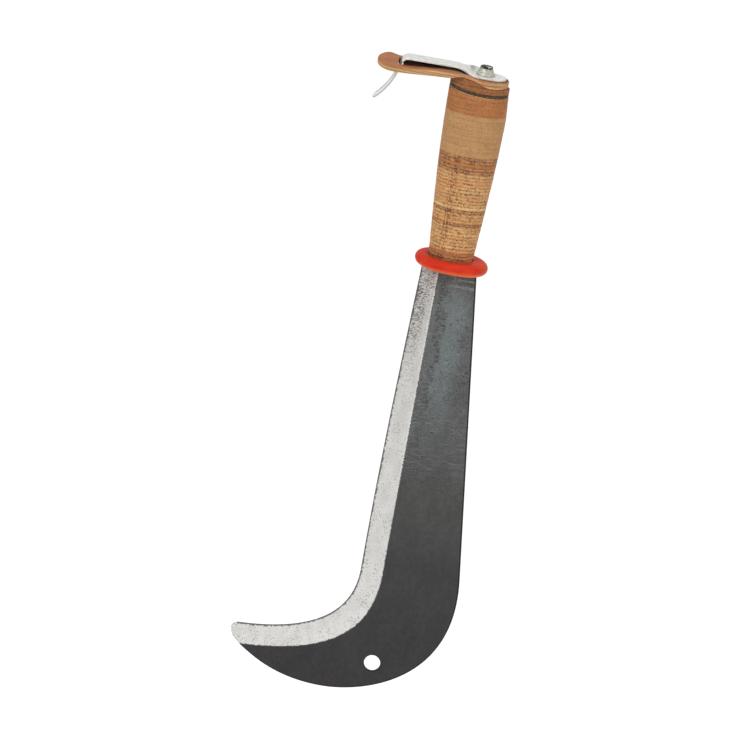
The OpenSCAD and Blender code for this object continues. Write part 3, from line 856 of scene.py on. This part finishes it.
def strap_rows(first, first_r, last, last_r, stations, columns, half_width):
    """Plan of a strap with round ends, as rows of (s, y, distance to its outline)."""
    def spot(centre, radius, sign, a, b):
        off = radius * b * math.sqrt(1 - a * a / 2)
        y = radius * a * math.sqrt(1 - b * b / 2)
        return centre + sign * off, y, radius - math.hypot(off, y)

    def cap(*end):
        steps = (0.2, 0.4, 0.56, 0.7, 0.8, 0.88, 0.94, 0.975, 1.0)
        return [[spot(*end, a, b) for a in columns] for b in steps]

    rows = cap(first + first_r, first_r, -1)[::-1]
    for s in sorted(stations + [first + first_r, last - last_r]):
        half = half_width(s)
        rows.append([(s, a * half, half * (1 - abs(a))) for a in columns])
    return rows + cap(last - last_r, last_r, 1)


def sheet(bm, rows, place, thickness, corner, is_open):
    """Bent sheet with rounded corners. place gives a point of its middle and its upper side."""
    def vert(side, s, y, inside):
        cut = corner - math.sqrt(max(corner ** 2 - max(corner - inside, 0) ** 2, 0))
        point, up = place(s, y)
        return bm.verts.new(Vector(point) + Vector(up) * side * (thickness(s, y) / 2 - cut))

    top, low = ([[vert(side, *spot) for spot in row] for row in rows] for side in (1, -1))
    rim = {}
    for i in range(len(rows) - 1):
        for j in range(len(rows[0]) - 1):
            cell = [(i, j), (i + 1, j), (i + 1, j + 1), (i, j + 1)]
            if is_open(*(sum(rows[a][b][k] for a, b in cell) / 4 for k in (0, 1))):
                continue
            bm.faces.new([top[a][b] for a, b in cell])
            bm.faces.new([low[a][b] for a, b in cell[::-1]])
            for edge in zip(cell, cell[1:] + cell[:1]):
                if rim.pop(edge[::-1], None) is None:
                    rim[edge] = True
    for (a, b), (c, d) in rim:
        bm.faces.new((top[a][b], top[c][d], low[c][d], low[a][b])).material_index = 1


def mirrored(half):
    return [-v for v in half[:0:-1]] + half


# Tongue and hook: s runs from the tang's axis to the edge side
RAMP_START, RAMP_RUN, RAMP_LAG = -7.1, 15, 1.5
BEND_OUT, STRIP_W = 60.3, 14.5


def ramp(start, rise, steps):
    """Rise of the tongue or the strip as [x, z], soft at both ends."""
    return curve(((start, 0), (start - 0.3 * RAMP_RUN, 0), (start - 0.45 * RAMP_RUN, rise),
                  (start - RAMP_RUN, rise)), steps)


TONGUE_T, TONGUE_END_T, TONGUE_RISE, TONGUE_DROP = 5.0, 3.6, 3.5, 1.5
TONGUE_FLAT = RAMP_START - RAMP_LAG
TONGUE_CREST = TONGUE_FLAT - RAMP_RUN
TONGUE_INSET, TONGUE_TWIST = 1.4, 0.19
TONGUE_FIRST, TONGUE_LAST = TONGUE_INSET - tongue_high.x, -tongue_low.x
NEAR_CURL, NEAR_THINNING, FAR_SAG = 4.1, 2.3, 2.2
tongue_path = [Vector((tongue_high.x + 1, 0))] + ramp(TONGUE_FLAT, TONGUE_RISE, 40)
tongue_path += curve(((TONGUE_CREST, TONGUE_RISE), (mix(TONGUE_CREST, -TONGUE_LAST, 0.33), TONGUE_RISE),
                      (mix(TONGUE_CREST, -TONGUE_LAST, 0.67), TONGUE_RISE - TONGUE_DROP),
                      (-TONGUE_LAST - 2, TONGUE_RISE - TONGUE_DROP)), 50, 1)
tongue_params = [-p.x for p in tongue_path]


def near_rim(y):
    """0 on the tongue's middle, 1 on its near rim."""
    return smooth(8.5, 13.2, -y)


def curl(s, y):
    """Lift of the leather's near side, curled up beside the rivet."""
    return NEAR_CURL * near_rim(y) * window(s, -5, 10, 11, 24)


def sag(s, y):
    """Droop of the leather's far side beside the slot."""
    return FAR_SAG * smooth(1, 11, y) * window(s, 38, 54, 60, 70)


def thinning(s, y):
    """Loss of thickness where the curled near side is stretched."""
    return NEAR_THINNING * near_rim(y) * window(s, -6, 5, 14, 28)


def tongue_thickness(s, y):
    """Thinner to the free end, and along the near side."""
    out = min(max((s + TONGUE_CREST) / (TONGUE_LAST + TONGUE_CREST), 0), 1)
    return mix(TONGUE_T, TONGUE_END_T, out) - thinning(s, y)


def tongue_place(s, y):
    """Point of the tongue's middle layer and the direction of its upper side."""
    point, up = spot_on(tongue_params, tongue_path, s)
    turn = TONGUE_TWIST * smooth(-TONGUE_FLAT, TONGUE_LAST - 12, s)
    lift = curl(s, y) - sag(s, y) - thinning(s, y) / 2
    return (point.x, y, tongue_low.z + TONGUE_T / 2 + point.y + turn * y + lift), (up.x, -turn, up.y)


def make_tongue():
    """Leather tongue: flat on the pommel, a rise beside it, then a slight droop and twist."""
    disc_r, end_r, corner_r = 14.6, 13.0, 0.45
    bore, slot_half, slot_out, slot_l = 2.7, STRIP_W / 2 + 0.2, 59.5, 3.6
    half_at_slot = 13.1
    near, far = slot_out - slot_l / 2, slot_out + slot_l / 2
    steps = 44

    def half_width(s):
        start, end = TONGUE_FIRST + disc_r, TONGUE_LAST - end_r
        return mix(disc_r, end_r, (s - start) / (end - start))

    def is_open(s, y):
        return max(abs(s), abs(y)) < bore or (near < s < far and abs(y) < slot_half)

    stations = [-bore, 0.0, bore, near, slot_out, far]
    stations += [mix(bore, near, i / steps) for i in range(1, steps)]
    columns = mirrored([0.0, bore / disc_r, 0.4, 0.5, slot_half / half_at_slot, 0.62, 0.68, 0.74, 0.8, 0.86,
                        0.91, 0.945, 0.97, 0.988, 1.0])
    rows = strap_rows(TONGUE_FIRST, disc_r, TONGUE_LAST, end_r, stations, columns, half_width)
    bm = bmesh.new()
    sheet(bm, rows, tongue_place, tongue_thickness, corner_r, is_open)
    new_piece("strap_tongue", bm, [tongue_leather(), cut_leather()],
              nodes=["leather_tongue"], body="hook")


def make_wedge():
    """Leather wedge between the end washer and the tongue's rise, up to its curled near side."""
    middle, half_w = (end_low.x + end_high.x) / 2, (end_high.x - end_low.x) / 2
    first, last, steps = -7, -end_low.x - 0.4, 60
    widest, gap, least, corner_r = 14.3, 0.1, 0.02, 0.1
    # The wedge's sides are upright, so each point counts as far inside its outline
    inside = 9
    columns = mirrored([0.0, 0.3, 0.55, 0.65, 0.75, 0.85, 0.93, 1.0])
    rows = []
    for i in range(steps + 1):
        s = mix(first, last, i / steps)
        half = min(end_high.y * math.sqrt(max(1 - ((-s - middle) / half_w) ** 2, 0)), widest)
        rows.append([(s, a * half, inside) for a in columns])

    def height(s, y):
        point, up = spot_on(tongue_params, tongue_path, s)
        return max(point.y + (1 - 1 / up.y) * TONGUE_T / 2 + curl(s, y) - gap, least)

    def place(s, y):
        return (-s, y, tongue_low.z + height(s, y) / 2), (0, 0, 1)

    bm = bmesh.new()
    sheet(bm, rows, place, height, corner_r, lambda s, y: False)
    paint = washer_leather("wedge_leather", (150, 96, 56), (92, 52, 30), (198, 146, 102), 0.2, 0.42)
    new_piece("leather_packing", bm, [paint, paint],
              nodes=["leather_wedge"], body="hook")


def make_hook():
    """Steel strip: eye on the pommel, a rise that is steeper on the far side, and an end bent down."""
    thick, eye_r, rise, corner_r = 1.6, 9.75, 4.3, 0.2
    bore, neck, gap = 2.5, 5.0, 0.05
    tip_drop, tip_flare, tip_r = 28.5, 14.8, 6.0
    bend_run, bend_low, far_lift = 7, 4, 3.1
    steps = 90
    middle = cone_low.z - gap - thick / 2
    bend_start, bend_end = Vector((-BEND_OUT + bend_run, rise)), Vector((-BEND_OUT, -bend_low))
    tip = Vector((-BEND_OUT - tip_flare, -tip_drop))
    path = [Vector((hook_back + 1, 0)), Vector((0, 0))] + ramp(RAMP_START, rise, 30)
    path += curve((bend_start, bend_start + Vector((-5.4, 0)), bend_end + Vector((0.6, 4.5)), bend_end), 30)
    bend_i = len(path) - 1
    path += curve((bend_end, bend_end + tip_drop * Vector((-0.08, -0.3)),
                   tip + tip_drop * Vector((0.3, 0.28)), tip), 40, 1)
    params = [-path[0].x]
    for a, b in zip(path, path[1:]):
        params.append(params[-1] + (b - a).length)
    first, last = -hook_back, params[-1]
    down = params[bend_i]

    def half_width(s):
        if s < down:
            return mix(eye_r, STRIP_W / 2, smooth(-RAMP_START, -RAMP_START + neck, s))
        return mix(STRIP_W / 2, tip_r, (s - down) / (last - tip_r - down))

    def place(s, y):
        point, up = spot_on(params, path, s)
        lift = far_lift * smooth(0.5, 1.0, y / half_width(s)) * window(s, -4, 9, 9.5, 17.5)
        return (point.x, y, middle + point.y + lift), (up.x, 0, up.y)

    def is_open(s, y):
        return max(abs(s), abs(y)) < bore

    stations = [-bore, 0.0, bore] + [mix(bore, last - tip_r, i / steps) for i in range(1, steps)]
    columns = mirrored([0.0, bore / eye_r, 0.5, 0.75, 0.9, 0.945, 0.985, 1.0])
    bm = bmesh.new()
    rows = strap_rows(first, eye_r, last, tip_r, stations, columns, half_width)
    sheet(bm, rows, place, lambda s, y: thick, corner_r, is_open)
    # The last colours are painted light on the face's low end and painted shade on the rim's low end.
    face = bare_steel("hook_steel", (236, 236, 232), (186, 188, 186), (20, 0.6, 0.6), 0.36,
                      (250, 250, 248))
    rim = bare_steel("hook_edge_steel", (240, 237, 228), (206, 203, 194), (12, 0.6, 0.6), 0.4,
                     (188, 188, 185))
    new_piece("sprung_hook", bm, [face, rim], nodes=["belt_hook"], body="hook")


def make_cone():
    """Conical washer, a little dented by the hammer."""
    base_r, top_r, bore, rim = 6.8, 4.6, 2.45, 0.8
    deepest, inward, waves, slow_waves = 0.5, 0.4, 2.2, 0.5
    steps = 10
    high = cone_high.z - cone_low.z
    section = [(base_r - 0.2, 0.0), (base_r, 0.25), (base_r, rim - 0.2), (base_r - 0.15, rim)]
    section += [(mix(base_r, top_r, i / steps), mix(rim, high, i / steps)) for i in range(1, steps + 1)]
    loops = [circle_loop(bore, cone_low.z)]
    for r, h in section:
        dent = deepest * min(h / high, 1 - h / high)
        loop = []
        for x, y in CIRCLE:
            off = r + dent * (noise.noise(Vector((waves * x, waves * y, slow_waves * h))) - inward)
            loop.append((off * x, off * y, cone_low.z + h))
        loops.append(loop)
    loops.append(circle_loop(bore, cone_high.z))
    bm = bmesh.new()
    loft(bm, loops)
    paint = bare_steel("rivet_steel", (190, 190, 177), (116, 116, 106), (1.5, 1.5, 1.0), 0.38)
    new_piece("conical_washer", bm, [paint], nodes=["rivet_washer"])


make_blade()
make_guard()
make_grip()
make_spacer()
make_end_washer()
make_wedge()
make_tongue()
make_hook()
make_cone()


# Floor, light and camera

FLOOR_DROP, FLOOR_HALF, FLOOR_GLOW = 0.5, 20, 0.5
SOFT_LIGHT, WHITE_LIGHT = 0.62, 1.0
WHITE = (255, 255, 255)
FLOOR_GREY = (0.8, 0.8, 0.8, 1)


def seen_by(tree, *rays):
    """1 for rays of two kinds, and 0 for all others."""
    path = tree.nodes.new("ShaderNodeLightPath")
    seen = tree.nodes.new("ShaderNodeMath")
    seen.operation = "MAXIMUM"
    for ray, socket in zip(rays, seen.inputs):
        tree.links.new(path.outputs["Is %s Ray" % ray], socket)
    return seen.outputs[0]


def make_floor():
    """Pale floor that shows white to the camera where nothing shades it."""
    p = Paint("pale_floor", roughness=0.9, specular=0.1)
    p.shader.inputs["Base Color"].default_value = FLOOR_GREY
    p.put(p.shader.inputs["Emission Color"], WHITE)
    p.put(p.shader.inputs["Emission Strength"], p.times(seen_by(p.tree, "Camera", "Glossy"), FLOOR_GLOW))
    bm = bmesh.new()
    bmesh.ops.create_grid(bm, x_segments=2, y_segments=2, size=FLOOR_HALF)
    mesh = bpy.data.meshes.new("floor")
    bm.to_mesh(mesh)
    bm.free()
    mesh.materials.append(p.material)
    floor = bpy.data.objects.new("floor", mesh)
    floor.location.z = blade_low.z * MM - FLOOR_DROP
    scene.collection.objects.link(floor)


def make_world():
    """Even soft light, behind which the camera sees white."""
    world = bpy.data.worlds.new("studio")
    scene.world = world
    world.use_nodes = True
    tree = world.node_tree
    tree.nodes.clear()
    choose = tree.nodes.new("ShaderNodeMixShader")
    tree.links.new(seen_by(tree, "Camera", "Transmission"), choose.inputs[0])
    for strength, socket in zip((SOFT_LIGHT, WHITE_LIGHT), choose.inputs[1:]):
        background = tree.nodes.new("ShaderNodeBackground")
        background.inputs["Color"].default_value = linear(WHITE)
        background.inputs["Strength"].default_value = strength
        tree.links.new(background.outputs[0], socket)
    output = tree.nodes.new("ShaderNodeOutputWorld")
    tree.links.new(choose.outputs[0], output.inputs[0])


def lamp(name, place, size, level):
    """Square area lamp aimed at the guard; level is the light that it adds on a surface facing it."""
    light = bpy.data.lights.new(name, "AREA")
    light.size = size
    place = Vector(place)
    target = Vector((0, 0, root_z * MM))
    light.energy = level * math.pi ** 2 * (place - target).length_squared
    item = bpy.data.objects.new(name, light)
    item.location = place
    item.rotation_euler = (target - place).to_track_quat("-Z", "Y").to_euler()
    scene.collection.objects.link(item)


make_floor()
make_world()
lamp("key", (-1.3, -1.9, 1.5), 1.4, 0.34)
lamp("fill", (1.8, -1.7, 0.4), 1.6, 0.16)
lamp("top", (0.3, 0.9, 2.4), 1.4, 0.2)

# Camera: the photograph's angle, with the guard's middle at its pixel in the 740 pixel frame
FRAME_PX = 740
M_PER_PX = 0.70 * MM
GUARD_PX = (452.2, 262.5)
ELEVATION, ROLL = math.radians(14), math.radians(10)
DISTANCE, FAR_CLIP = 12, 100
look = Vector((0, math.cos(ELEVATION), -math.sin(ELEVATION)))
right = Matrix.Rotation(-ROLL, 3, look) @ Vector((1, 0, 0))
up = right.cross(look)
offset_right = (GUARD_PX[0] - FRAME_PX / 2) * M_PER_PX
offset_up = (FRAME_PX / 2 - GUARD_PX[1]) * M_PER_PX
target = Vector((0, 0, guard_middle * MM)) - right * offset_right - up * offset_up
lens = bpy.data.cameras.new("photo")
lens.lens = lens.sensor_width * DISTANCE / (FRAME_PX * M_PER_PX)
lens.clip_end = FAR_CLIP
camera = bpy.data.objects.new("photo", lens)
pose = Matrix((right, up, -look)).transposed().to_4x4()
pose.translation = target - look * DISTANCE
camera.matrix_world = pose
scene.collection.objects.link(camera)
scene.camera = camera
scene.view_settings.view_transform = "Standard"
